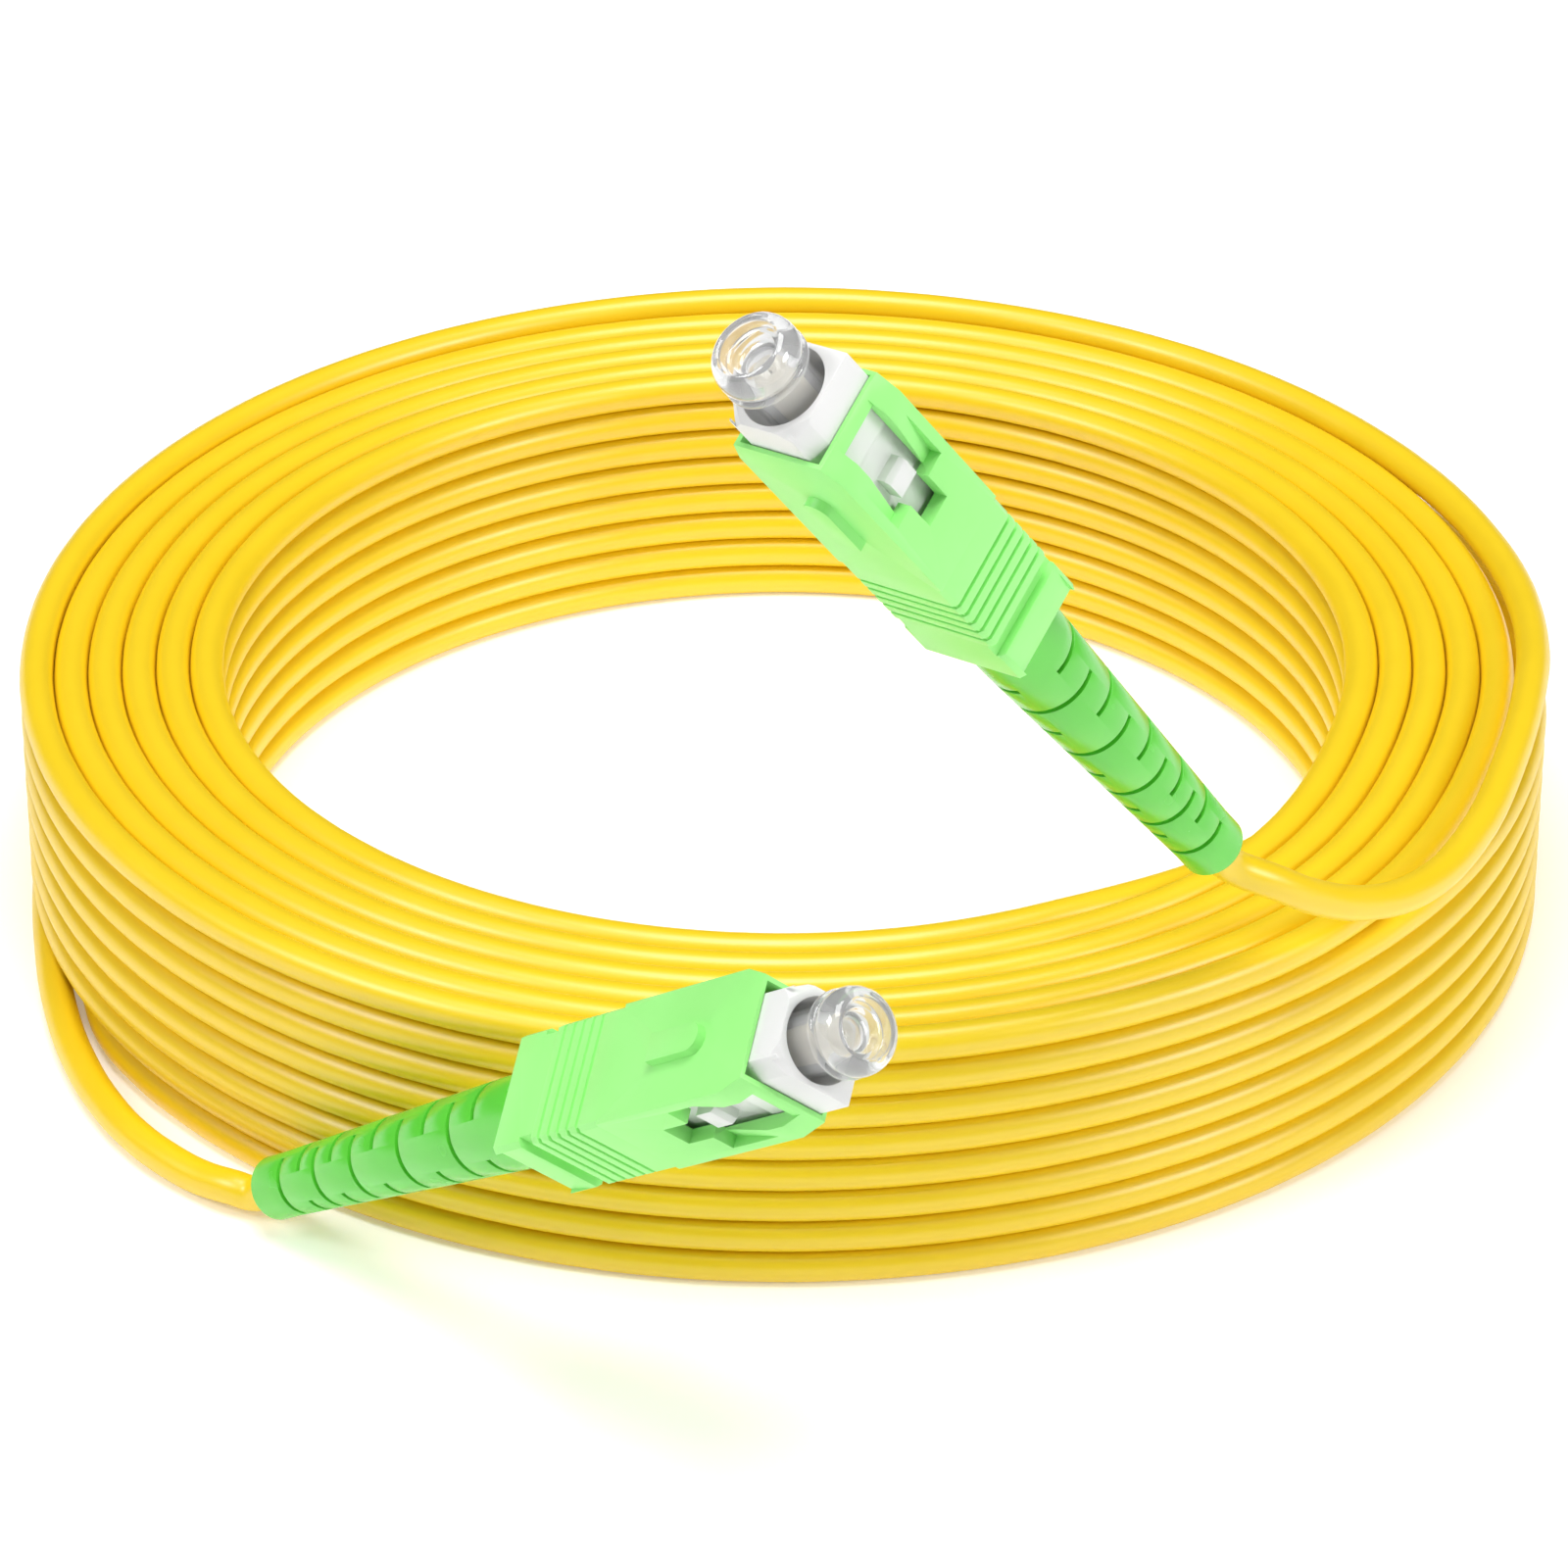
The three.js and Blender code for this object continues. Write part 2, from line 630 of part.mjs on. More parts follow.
function cableCoil() {
  const points = [];
  const corners = [
    [COIL_OUTER_R - COIL_EDGE_R, COIL_EDGE_R, -90],
    [COIL_OUTER_R - COIL_EDGE_R, COIL_HEIGHT - COIL_EDGE_R, 0],
    [COIL_INNER_R + COIL_EDGE_R, COIL_HEIGHT - COIL_EDGE_R, 90],
    [COIL_INNER_R + COIL_EDGE_R, COIL_EDGE_R, 180],
  ];
  for (const [r, z, start] of corners) {
    for (const step of [0, 90]) {
      const angle = THREE.MathUtils.degToRad(start + step);
      points.push(new THREE.Vector2(r + COIL_EDGE_R * Math.cos(angle), z + COIL_EDGE_R * Math.sin(angle)));
    }
  }
  points.push(points[0].clone());
  const geometry = new THREE.LatheGeometry(points, COIL_SEGMENTS);
  geometry.rotateX(Math.PI / 2);
  return geometry;
}

function cableTube(points, steps) {
  const curve = new THREE.CatmullRomCurve3(points, false, 'centripetal');
  return new THREE.ExtrudeGeometry(roundWire(CABLE_R, 8), {
    steps,
    extrudePath: curve,
    bevelEnabled: false,
  });
}

// The last points of a tail: straight along the boot's axis, ending just short of its rear face.
function arrival(target) {
  const direction = new THREE.Vector3(1, 0, 0).applyEuler(target.rotation);
  const end = new THREE.Vector3(BOOT_REAR, 0, 0).applyEuler(target.rotation).add(target.position);
  return [ARRIVAL_LENGTH, CORD_GAP].map((distance) => end.clone().addScaledVector(direction, -distance));
}

function tailA(target) {
  const points = [];
  const z = COIL_HEIGHT + CORD_GAP + CABLE_R;
  for (let degrees = TOP_TURN_FROM; degrees >= TOP_TURN_TO; degrees -= 10) {
    const angle = THREE.MathUtils.degToRad(degrees);
    points.push(new THREE.Vector3(TOP_TURN_R * Math.cos(angle), TOP_TURN_R * Math.sin(angle), z));
  }
  points.push(...TAIL_A_FREE.map((p) => new THREE.Vector3(...p)));
  return cableTube([...points, ...arrival(target)], 48);
}

function tailB(target) {
  const points = TAIL_B_FREE.map((p) => new THREE.Vector3(...p));
  return cableTube([...points, ...arrival(target)], 16);
}

const group = new THREE.Group();
const [connectorA, connectorB] = CONNECTORS.map(connector);
group.add(connectorA, connectorB);
group.add(named('cable_coil', cableCoil(), jacketYellow));
group.add(named('cable_tail_a', tailA(connectorA), jacketYellow));
group.add(named('cable_tail_b', tailB(connectorB), jacketYellow));

// The origin is the bottom centre of the whole part.
group.updateMatrixWorld(true);
const extent = new THREE.Box3().setFromObject(group, true);
const centre = extent.getCenter(new THREE.Vector3());
group.position.set(-centre.x, -centre.y, -extent.min.z);

export default group;
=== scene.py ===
"""Fiber optic patch cord: a wound yellow cable with a green push-pull connector on each end.

Metres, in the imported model's frame. Sizes below are in millimetres and are scaled as meshes are made.
Each connector is drawn along local X: X = 0 is the front face of its outer housing, +X points out of
the socket, +Z is the side with the key bar and the two Y sides carry the latch windows.
"""
import json
from math import cos, pi, radians, sin

import bmesh
import bpy
from mathutils import Euler, Matrix, Vector


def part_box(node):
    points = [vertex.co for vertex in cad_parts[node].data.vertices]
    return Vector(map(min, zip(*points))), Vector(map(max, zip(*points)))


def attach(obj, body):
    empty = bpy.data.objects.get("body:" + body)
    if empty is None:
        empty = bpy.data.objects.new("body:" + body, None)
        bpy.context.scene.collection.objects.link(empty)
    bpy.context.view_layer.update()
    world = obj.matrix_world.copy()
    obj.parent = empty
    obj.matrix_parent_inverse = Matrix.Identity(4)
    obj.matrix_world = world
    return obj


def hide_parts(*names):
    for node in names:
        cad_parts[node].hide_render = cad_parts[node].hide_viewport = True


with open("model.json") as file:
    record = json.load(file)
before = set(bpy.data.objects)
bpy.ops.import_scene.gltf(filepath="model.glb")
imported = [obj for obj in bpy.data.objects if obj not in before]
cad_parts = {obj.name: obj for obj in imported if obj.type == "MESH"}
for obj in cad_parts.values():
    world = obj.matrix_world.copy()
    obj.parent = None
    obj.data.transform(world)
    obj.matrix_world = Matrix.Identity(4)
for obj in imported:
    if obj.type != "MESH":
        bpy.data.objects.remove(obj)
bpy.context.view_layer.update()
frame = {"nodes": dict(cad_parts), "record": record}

MM = 0.001
OUTSIDE = 6.0  # cutters reach this far out, past every side of a connector
PAST = 1.0  # cutters run this far past the face that they open
EDGE_ROUND = 0.1  # how far the edges of hard mouldings are rounded

# Cable and winding
CABLE_D = 2.6
COLUMNS = 6
OUTER_HALF_COLUMN = 5
INNER_TURN_R = 44.46
STEP_DEGREES = 6.0
ENTRY_DEGREES = 184.0
LEAVE_DEGREES = -9.0
# Where the strand moves on each level, bottom level first, as (start, length) in degrees round the coil:
# its changes of column in the inner half, those in the outer half, and its climb to the next level.
LEVEL_PLAN = [
    ((212, 20), (212, 20), (218, 20)),
    ((224, 20), (20, 20), (26, 20)),
    ((200, 20), (32, 20), (206, 20)),
    ((212, 20), (20, 20), (26, 20)),
    ((200, 20), (32, 20), (206, 20)),
    ((212, 20), (150, 20), (156, 20)),
    ((-38, 40), (162, 20), (-26, 40)),
    ((-14, 40), (-14, 40), None),
]
# How the last turn climbs onto itself: place round the coil in degrees and share of one level.
LAST_TURN_RISE = [
    (225, 0.0), (180, 0.13), (135, 0.29), (90, 0.42), (60, 0.38), (30, 0.38), (15, 0.48), (0, 0.74),
    (-13, 1.0),
]
LAST_COLUMN_DEGREES = -54.0

# How each connector is turned, in degrees
CONNECTORS = {
    "a": {"yaw": 219.33, "elevation": 51.45, "roll": -169.63},
    "b": {"yaw": 318.85, "elevation": 33.59, "roll": 41.41},
}
# The mount point on the front face of the plug frame
PLUG_FACE_POINT = Vector((2.8, -2.7, -2.7))

# Outer housing
HOUSING_LENGTH = 26.8
HOUSING_HALF_WIDTH = 4.5
HOUSING_HALF_HEIGHT = 3.7
HOUSING_BORE_R = 3.4
GROOVE_STARTS = (-17.3, -18.35, -19.4, -20.45, -21.55)

# Plug frame
FRAME_HALF = 3.3
FRAME_FRONT = 2.8
FRAME_REAR = -16.0

# Boot, and where the cable's jacket and the crimp end inside it
BOOT_FRONT = -22.3
BOOT_REAR = -59.5
BOOT_FRONT_R = 3.3
BOOT_REAR_R = 2.35
BOOT_SLOTS = (-31.3, -34.3, -37.4, -40.6, -43.8, -46.6, -49.1, -51.3, -53.2, -55.8)
JACKET_FRONT = -28.9
JACKET_MIDDLE = -44.0

# Ferrule
FERRULE_R = 1.25
FERRULE_REAR = -8.0
FERRULE_TIP = 5.0

# Free cable centre lines beside the coil, from the coil's centre.
TAIL_A = [
    (53.6, -22.9, 22.0), (49.9, -33.3, 21.9), (45.8, -40.6, 22.5),
    (41.6, -45.2, 24.0), (37.7, -48.1, 26.2), (34.3, -49.8, 28.6),
]
TAIL_B = [
    (-56.2, -14.8, 1.3), (-54.6, -23.9, 1.3), (-52.5, -31.1, 1.3), (-50.05, -36.8, 1.3),
    (-47.45, -41.1, 1.3), (-44.8, -44.3, 1.35), (-42.3, -46.6, 1.42), (-39.9, -48.4, 1.8),
]


# ---------------------------------------------------------------- meshes

def new_object(name, data):
    obj = bpy.data.objects.new(name, data)
    bpy.context.scene.collection.objects.link(obj)
    return obj


def mesh_from(name, verts, faces):
    """An object from points in millimetres."""
    mesh = bpy.data.meshes.new(name)
    mesh.from_pydata([Vector(v) * MM for v in verts], [], faces)
    mesh.update()
    return new_object(name, mesh)


def block(name, x0, x1, y0, y1, z0, z1):
    verts = [(x, y, z) for x in (x0, x1) for y in (y0, y1) for z in (z0, z1)]
    faces = [(0, 1, 3, 2), (4, 6, 7, 5), (0, 4, 5, 1), (2, 3, 7, 6), (0, 2, 6, 4), (1, 5, 7, 3)]
    return mesh_from(name, verts, faces)


def prism(name, outline, low, high, along):
    """A prism whose outline is given on X-Y (along Z) or on Y-Z (along X)."""
    count = len(outline)
    if along == "z":
        verts = [(a, b, h) for h in (low, high) for a, b in outline]
    else:
        verts = [(h, a, b) for h in (low, high) for a, b in outline]
    faces = [tuple(range(count))[::-1], tuple(range(count, 2 * count))]
    for i in range(count):
        j = (i + 1) % count
        faces.append((i, j, count + j, count + i))
    obj = mesh_from(name, verts, faces)
    make_normals_consistent(obj)
    return obj


def make_normals_consistent(obj):
    bm = bmesh.new()
    bm.from_mesh(obj.data)
    bmesh.ops.recalc_face_normals(bm, faces=bm.faces)
    bm.to_mesh(obj.data)
    bm.free()


def turned(name, profile, segments=96):
    """A body of revolution about X from [x, radius] points. A radius of 0 closes the end."""
    verts = []
    rings = []
    for x, r in profile:
        if r == 0:
            rings.append([len(verts)])
            verts.append((x, 0, 0))
            continue
        rings.append(list(range(len(verts), len(verts) + segments)))
        for k in range(segments):
            angle = 2 * pi * k / segments
            verts.append((x, r * cos(angle), r * sin(angle)))
    closed = profile[0] != profile[-1] and profile[0][1] != 0
    pairs = list(zip(rings, rings[1:])) + ([(rings[-1], rings[0])] if closed else [])
    faces = []
    for one, two in pairs:
        if len(one) == 1 and len(two) == 1:
            continue
        for k in range(segments):
            j = (k + 1) % segments
            if len(one) == 1:
                faces.append((one[0], two[j], two[k]))
            elif len(two) == 1:
                faces.append((one[k], one[j], two[0]))
            else:
                faces.append((one[k], one[j], two[j], two[k]))
    obj = mesh_from(name, verts, faces)
    make_normals_consistent(obj)
    return obj


def rod(name, x0, x1, r):
    """A plain round bar about X."""
    return turned(name, [(x0, 0), (x0, r), (x1, r), (x1, 0)])


def apply_modifiers(obj):
    """Bakes the modifiers into the mesh."""
    graph = bpy.context.evaluated_depsgraph_get()
    done = bpy.data.meshes.new_from_object(obj.evaluated_get(graph))
    obj.modifiers.clear()
    obj.data = done


def combine(obj, others, operation):
    """Joins or cuts obj with the other objects, which are used up."""
    for other in others:
        modifier = obj.modifiers.new(operation, "BOOLEAN")
        modifier.operation = operation
        modifier.solver = "EXACT"
        modifier.object = other
        apply_modifiers(obj)
        bpy.data.objects.remove(other)


def soften(obj, width, segments=2, angle=28):
    """Merges what the cuts left in pieces, rounds the sharp edges and shades the rest smoothly."""
    merge_within, flat_within = 0.004, 0.5
    bm = bmesh.new()
    bm.from_mesh(obj.data)
    bmesh.ops.remove_doubles(bm, verts=bm.verts, dist=merge_within * MM)
    bmesh.ops.dissolve_limit(bm, angle_limit=radians(flat_within), verts=bm.verts, edges=bm.edges)
    bm.to_mesh(obj.data)
    bm.free()
    bevel = obj.modifiers.new("edges", "BEVEL")
    bevel.width = width * MM
    bevel.segments = segments
    bevel.limit_method = "ANGLE"
    bevel.angle_limit = radians(angle)
    bevel.harden_normals = False
    bevel.miter_outer = "MITER_ARC"
    apply_modifiers(obj)
    smooth(obj, 30)


def smooth(obj, angle=35):
    obj.data.shade_smooth()
    obj.data.set_sharp_from_angle(angle=radians(angle))


# ---------------------------------------------------------------- connector pieces

def housing_mesh():
    w, h, bore = HOUSING_HALF_WIDTH, HOUSING_HALF_HEIGHT, HOUSING_BORE_R
    taper, nose, bore_half_height, bore_rear, rear_bore_front = 1.94, 3.76, 3.38, -18.7, -17.7
    body = prism("housing", [
        (-HOUSING_LENGTH, -w), (-taper, -w), (0, -nose), (0, nose), (-taper, w), (-HOUSING_LENGTH, w),
    ], -h, h, "z")
    cuts = [
        block("bore", bore_rear, PAST, -bore, bore, -bore_half_height, bore_half_height),
        rod("rear_bore", -HOUSING_LENGTH - PAST, rear_bore_front, bore),
    ]
    for side in (1, -1):
        cuts += window_cuts(side)
        cuts.append(rear_panel_cut(side))
        cuts.append(wide_band_cut(side))
    cuts += [grip_groove(start) for start in GROOVE_STARTS]
    cuts += grip_bevels()
    combine(body, cuts, "DIFFERENCE")
    combine(body, [key_bar()], "UNION")
    soften(body, EDGE_ROUND)
    return body


def window_cuts(side):
    """One latch window: an open channel, a narrow tail, two ears with sloping floors, a nose notch."""
    tail_rear, rear, ear_front, front, overlap = -11.0, -8.4, -3.55, -1.1, 0.1
    channel_half, tail_half, ear_half = 1.9, 1.15, 2.9
    through, ear_floor, notch_floor = 3.0, 3.55, 3.9
    low, high = sorted((side * through, side * OUTSIDE))
    notch_low, notch_high = sorted((side * notch_floor, side * OUTSIDE))
    ramp = [
        (rear, side * ear_floor), (ear_front, side * HOUSING_HALF_WIDTH),
        (ear_front, side * OUTSIDE), (rear, side * OUTSIDE),
    ]
    return [
        block("channel", rear, front, low, high, -channel_half, channel_half),
        block("tail", tail_rear, rear + overlap, low, high, -tail_half, tail_half),
        block("notch", front - overlap, PAST, notch_low, notch_high, -channel_half, channel_half),
        prism("ears", ramp, -ear_half, ear_half, "z"),
    ]


def key_bar():
    """The bar on the key side, with a round front end."""
    half, front, rear, low, high, steps = 1.05, -5.0, -10.3, 3.6, 4.4, 16
    outline = [(rear, -half)]
    for k in range(steps + 1):
        angle = -pi / 2 + pi * k / steps
        outline.append((front - half + half * cos(angle), half * sin(angle)))
    outline.append((rear, half))
    return prism("key", outline, low, high, "z")


def grip_groove(start):
    """A frame-shaped cutter that runs all round the housing, shallower on the two wide faces."""
    width, depth, wide_face_share = 0.34, 0.3, 0.6
    outer = block("outer", start - width, start, -OUTSIDE, OUTSIDE, -OUTSIDE, OUTSIDE)
    y = HOUSING_HALF_WIDTH - depth
    z = HOUSING_HALF_HEIGHT - depth * wide_face_share
    combine(outer, [block("core", start - width - PAST, start + PAST, -y, y, -z, z)], "DIFFERENCE")
    return outer


def grip_bevels():
    """Four cutters that take the long corners off the grip."""
    w, h, bevel, front = HOUSING_HALF_WIDTH, HOUSING_HALF_HEIGHT, 0.35, -15.2
    rear = -HOUSING_LENGTH - PAST
    cutters = []
    for sy in (1, -1):
        for sz in (1, -1):
            outline = [
                (sy * (w - bevel), sz * (h + PAST)), (sy * (w + PAST), sz * (h + PAST)),
                (sy * (w + PAST), sz * (h - bevel)), (sy * w, sz * (h - bevel)), (sy * (w - bevel), sz * h),
            ]
            cutters.append(prism("grip_bevel", outline, rear, front, "x"))
    return cutters


def wide_band_cut(side):
    """The wide shadow band behind the grip grooves, on the window sides only."""
    rear, front, floor = -23.9, -22.55, 3.85
    low, high = sorted((side * floor, side * OUTSIDE))
    return block("band", rear, front, low, high, -OUTSIDE, OUTSIDE)


def rear_panel_cut(side):
    """The plain sloping panel at the rear of a window side."""
    rear, front, rear_floor, half = -HOUSING_LENGTH - PAST, -24.4, 4.05, 3.3
    outline = [
        (rear, side * rear_floor), (front, side * HOUSING_HALF_WIDTH),
        (front, side * OUTSIDE), (rear, side * OUTSIDE),
    ]
    return prism("panel", outline, -half, half, "z")


def plug_frame_mesh():
    h, corner_low, corner_in = FRAME_HALF, 1.9, 2.5
    socket_r, socket_floor, hole_r, cavity_r, cavity_front = 2.95, -4.0, 1.36, 2.52, -5.0
    rear = FRAME_REAR - PAST
    body = prism("frame", [
        (-h, -h), (h, -h), (h, corner_low), (corner_in, h), (-corner_in, h), (-h, corner_low),
    ], FRAME_REAR, FRAME_FRONT, "x")
    cuts = []
    for side in (1, -1):
        cuts.append(waist_cut(side))
        cuts.append(nose_bevel(side))
    cuts.append(rod("socket", socket_floor, FRAME_FRONT + PAST, socket_r))
    cuts.append(rod("ferrule_hole", cavity_front - PAST, socket_floor + PAST, hole_r))
    cuts.append(rod("cavity", rear, cavity_front, cavity_r))
    combine(body, cuts, "DIFFERENCE")
    combine(body, [catch(side) for side in (1, -1)], "UNION")
    soften(body, EDGE_ROUND)
    return body


def waist_cut(side):
    """Thins one side of the plug frame behind its nose."""
    rear, front, nose, waist = FRAME_REAR - PAST, -4.1, -3.5, 2.95
    outline = [(rear, waist), (front, waist), (nose, FRAME_HALF), (nose, OUTSIDE), (rear, OUTSIDE)]
    return prism("waist", [(x, side * y) for x, y in outline], -OUTSIDE, OUTSIDE, "z")


def catch(side):
    """The block in a latch window that the adapter's hooks hold, with a sloping front edge."""
    rear, front, slope, top, root, half = -7.9, -6.0, 0.35, 3.95, 2.9, 1.0
    outline = [(rear, root), (front, root), (front, top - slope), (front - slope, top), (rear, top)]
    return prism("catch", [(x, side * y) for x, y in outline], -half, half, "z")


def nose_bevel(side):
    """Slopes the front face back at one corner on the key side."""
    depth, corner, inset = 0.7, 4.02, 0.6
    front = FRAME_FRONT + 0.01
    outline = [(FRAME_FRONT - depth, corner), (front, corner), (front, corner - inset)]
    wedge = prism("wedge", outline, -OUTSIDE, OUTSIDE, "z")
    turn = pi / 4 if side > 0 else 3 * pi / 4
    wedge.data.transform(Matrix.Rotation(turn, 4, "X"))
    return wedge


def boot_mesh():
    cable_r, crimp_r, crimp_floor, head_rear, edge = 1.36, 2.46, -34.2, -30.0, 0.06
    body = turned("boot", [
        (BOOT_REAR, cable_r), (BOOT_REAR, 2.1), (BOOT_REAR + 0.08, 2.24),
        (BOOT_REAR + 0.25, BOOT_REAR_R), (BOOT_REAR + 2.2, BOOT_REAR_R),
        (head_rear, BOOT_FRONT_R), (BOOT_FRONT, BOOT_FRONT_R),
        (BOOT_FRONT, crimp_r), (crimp_floor, crimp_r), (crimp_floor, cable_r),
    ])
    slots = []
    for index, x in enumerate(BOOT_SLOTS):
        bridge = radians(135 if index % 2 == 0 else 45)
        slots += [slot_wedge(x, bridge + pi / 2), slot_wedge(x, bridge - pi / 2)]
    combine(body, slots, "DIFFERENCE")
    soften(body, edge)
    return body


def slot_wedge(x, middle):
    """A thin fan that cuts one side of a boot slot and leaves the two bridges between fans."""
    half_angle, half_width, reach, steps = radians(62.5), 0.21, 5, 8
    outline = [(0.0, 0.0)]
    for k in range(steps + 1):
        angle = middle - half_angle + 2 * half_angle * k / steps
        outline.append((reach * cos(angle), reach * sin(angle)))
    return prism("slot", outline, x - half_width, x + half_width, "x")


def cap_mesh():
    """The dust cap: a sleeve over the ferrule, two round rims outside and a stepped cup in its tip."""
    sleeve = [(-0.8, 1.29), (-0.8, 2.15), (-0.65, 2.3), (4.2, 2.3), (4.35, 2.36), (4.5, 2.5), (4.65, 2.62)]
    rear_rim = [(4.75, 2.75), (4.8, 2.9), (4.95, 3.02), (5.2, 3.06), (5.4, 3.01), (5.5, 2.88)]
    waist = [(5.62, 2.86)]
    front_rim = [(5.75, 2.96), (6.05, 3.04), (6.4, 3.03), (6.8, 2.95), (7.15, 2.8)]
    lip = [(7.4, 2.6), (7.55, 2.4), (7.6, 2.22), (7.52, 2.08), (7.35, 2.02), (6.85, 1.94), (6.75, 1.84)]
    cup = [(6.7, 1.55), (6.55, 1.44), (6.2, 1.4), (6.08, 1.28), (6.02, 0.9), (6.0, 0)]
    inside = [(5.6, 0), (5.5, 0.9), (5.25, 1.29)]
    body = turned("cap", sleeve + rear_rim + waist + front_rim + lip + cup + inside, 128)
    smooth(body, 40)
    return body


def ferrule_mesh():
    """The ceramic ferrule: a fine bore, a bevelled edge and a tip ground at eight degrees."""
    r, fibre_r, tip = FERRULE_R, 0.1, FERRULE_TIP
    grind_at, grind_angle, knife_size = 4.86, 8, 2
    body = turned("ferrule", [
        (FERRULE_REAR, fibre_r), (FERRULE_REAR, r), (tip - 0.5, r), (tip - 0.1, 1.03), (tip, 0.95),
        (tip, fibre_r),
    ])
    knife = block("knife", 0, knife_size, -knife_size, knife_size, -knife_size, knife_size)
    place = Matrix.Translation((grind_at * MM, 0, 0))
    knife.data.transform(place @ Matrix.Rotation(radians(grind_angle), 4, "Y"))
    combine(body, [knife], "DIFFERENCE")
    smooth(body)
    return body


# ---------------------------------------------------------------- materials

# Feature sizes of the noises, as noise scales, and how deep the moulding grain is in metres
MOTTLE_SCALE = 180
GLOSS_SCALE = 320
GRAIN_DEPTH = 0.00004
PLASTIC_IOR = 1.48


def material(name):
    mat = bpy.data.materials.new(name)
    mat.use_nodes = True
    nodes = mat.node_tree.nodes
    return mat, nodes, mat.node_tree.links, nodes["Principled BSDF"]


def grain(nodes, links, scale, strength, distance, shader):
    """Fine moulding grain: a noise into a bump."""
    coords = nodes.new("ShaderNodeTexCoord")
    noise = nodes.new("ShaderNodeTexNoise")
    noise.inputs["Scale"].default_value = scale
    noise.inputs["Detail"].default_value = 4
    bump = nodes.new("ShaderNodeBump")
    bump.inputs["Strength"].default_value = strength
    bump.inputs["Distance"].default_value = distance
    links.new(coords.outputs["Object"], noise.inputs["Vector"])
    links.new(noise.outputs["Fac"], bump.inputs["Height"])
    links.new(bump.outputs["Normal"], shader.inputs["Normal"])
    return coords


def mottle(nodes, links, coords, scale, dark, light, shader):
    """A slow, faint change of colour across a moulding."""
    noise = nodes.new("ShaderNodeTexNoise")
    noise.inputs["Scale"].default_value = scale
    noise.inputs["Detail"].default_value = 3
    ramp = nodes.new("ShaderNodeValToRGB")
    ramp.color_ramp.elements[0].position = 0.3
    ramp.color_ramp.elements[0].color = (*dark, 1)
    ramp.color_ramp.elements[1].position = 0.7
    ramp.color_ramp.elements[1].color = (*light, 1)
    links.new(coords.outputs["Object"], noise.inputs["Vector"])
    links.new(noise.outputs["Fac"], ramp.inputs["Fac"])
    links.new(ramp.outputs["Color"], shader.inputs["Base Color"])


def rough_patches(nodes, links, coords, scale, low, high, shader):
    """Slight wear: the gloss changes a little from place to place."""
    noise = nodes.new("ShaderNodeTexNoise")
    noise.inputs["Scale"].default_value = scale
    ranged = nodes.new("ShaderNodeMapRange")
    ranged.inputs["To Min"].default_value = low
    ranged.inputs["To Max"].default_value = high
    links.new(coords.outputs["Object"], noise.inputs["Vector"])
    links.new(noise.outputs["Fac"], ranged.inputs["Value"])
    links.new(ranged.outputs["Result"], shader.inputs["Roughness"])


def plastic(name, dark, light, rough, grain_scale=2600, grain_strength=0.08, gloss=0.5):
    """Moulded or drawn plastic: its colour drifts between dark and light, its roughness round rough."""
    mat, nodes, links, shader = material(name)
    coords = grain(nodes, links, grain_scale, grain_strength, GRAIN_DEPTH, shader)
    mottle(nodes, links, coords, MOTTLE_SCALE, dark, light, shader)
    glossier, duller = 0.05, 0.06
    rough_patches(nodes, links, coords, GLOSS_SCALE, rough - glossier, rough + duller, shader)
    shader.inputs["IOR"].default_value = PLASTIC_IOR
    shader.inputs["Specular IOR Level"].default_value = gloss
    return mat


def yellow_jacket():
    """The cable's jacket: smooth and fairly glossy."""
    return plastic(
        "yellow jacket", (0.88, 0.61, 0.006), (0.91, 0.63, 0.008),
        rough=0.36, grain_scale=1500, grain_strength=0.02, gloss=0.9,
    )


def light_green_housing():
    return plastic("light green housing", (0.33, 0.88, 0.23), (0.35, 0.91, 0.25), rough=0.42)


def green_boot():
    """The boot is a darker green and glossier than the housing."""
    return plastic(
        "green boot", (0.1, 0.6, 0.035), (0.115, 0.64, 0.045),
        rough=0.25, grain_scale=1800, grain_strength=0.04, gloss=0.9,
    )


def white_plug_frame():
    return plastic("white plug frame", (0.78, 0.78, 0.77), (0.83, 0.83, 0.82), rough=0.42)


def cream_ceramic():
    return plastic(
        "cream ceramic", (0.8, 0.72, 0.52), (0.86, 0.79, 0.6),
        rough=0.15, grain_scale=3000, grain_strength=0.02,
    )


def aramid_yarn():
    """Dull fibres, so the grain is strong."""
    return plastic(
        "aramid yarn", (0.62, 0.45, 0.08), (0.78, 0.6, 0.15),
        rough=0.85, grain_scale=5200, grain_strength=0.5,
    )


def white_tube():
    return plastic("white tube", (0.8, 0.8, 0.78), (0.86, 0.86, 0.84), rough=0.4)


def clear_cap_plastic():
    mat, nodes, links, shader = material("clear cap plastic")
    coords = grain(nodes, links, 900, 0.03, 0.00003, shader)
    rough_patches(nodes, links, coords, 260, 0.02, 0.06, shader)
    shader.inputs["Base Color"].default_value = (0.95, 0.955, 0.96, 1)
    shader.inputs["Transmission Weight"].default_value = 0.75
    shader.inputs["IOR"].default_value = 1.24
    shader.inputs["Coat Weight"].default_value = 1.0
    shader.inputs["Coat Roughness"].default_value = 0.05
    return mat


def metal(name, color, rough):
    """Turned or pressed metal: a fine grain, and a roughness that changes round rough."""
    mat, nodes, links, shader = material(name)
    coords = grain(nodes, links, 1800, 0.1, 0.00003, shader)
    glossier, duller = 0.06, 0.08
    rough_patches(nodes, links, coords, 500, rough - glossier, rough + duller, shader)
    shader.inputs["Base Color"].default_value = (*color, 1)
    shader.inputs["Metallic"].default_value = 1.0
    return mat


def turned_steel():
    return metal("turned steel", (0.66, 0.67, 0.69), rough=0.26)


